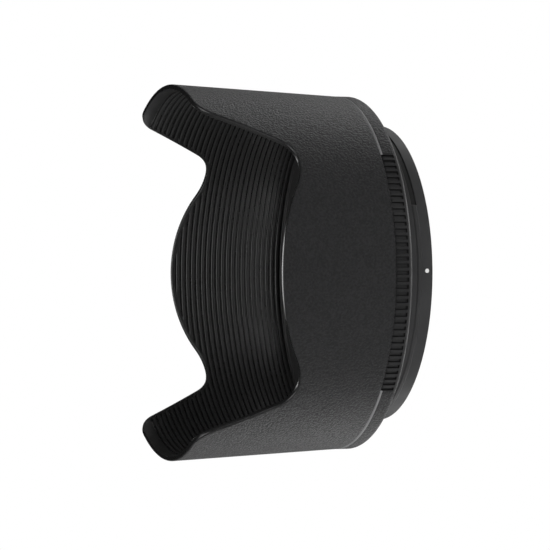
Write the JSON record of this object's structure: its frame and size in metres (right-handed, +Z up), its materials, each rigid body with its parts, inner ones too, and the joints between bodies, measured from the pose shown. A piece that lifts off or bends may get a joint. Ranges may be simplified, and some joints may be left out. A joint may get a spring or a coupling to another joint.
{
  "type": "petal lens hood",
  "caption": "Petal-shaped lens hood with a grooved interior, a ribbed grip band, a bayonet mount ring and a sprung release lock.",
  "frame": {"origin": "on the optical axis, in the rear face of the mount ring, where the lens barrel enters", "axes": "+X along the optical axis towards the camera, so that the petals point to -X; +Z up, through the centre of one long petal; -Y through the index dot's side, +Y through the release lock"},
  "size_m": [0.064, 0.1056, 0.1072],
  "materials": {
    "shell_plastic": "spatter texture",
    "band_plastic": "satin",
    "ring_plastic": "satin",
    "index_paint": "satin paint",
    "screw_steel": "black oxide",
    "lock_plastic": "satin",
    "button_plastic": "satin",
    "tooth_steel": "ground",
    "pin_steel": "turned",
    "spring_steel": "drawn wire"
  },
  "bodies": {
    "hood": {"petal_shell": "shell_plastic", "grip_band": "band_plastic", "mount_ring": "ring_plastic", "index_dot": "index_paint", "ring_screws": "screw_steel", "lock_housing": "lock_plastic", "lock_cover": "lock_plastic", "cover_screws": "screw_steel", "pivot_pin": "pin_steel", "return_spring": "spring_steel"},
    "button": {"release_button": "button_plastic", "latch_tooth": "tooth_steel"}
  },
  "joints": [
    {"name": "release_press", "type": "hinge", "parent": "hood", "child": "button", "pos_m": [-0.00555, 0.0462, 0], "axis": [-1, 0, 0], "range_deg": [0, 9], "stiffness_Nm_per_rad": 0.0735, "springref_deg": -8.59, "deforming": ["return_spring"]}
  ]
}
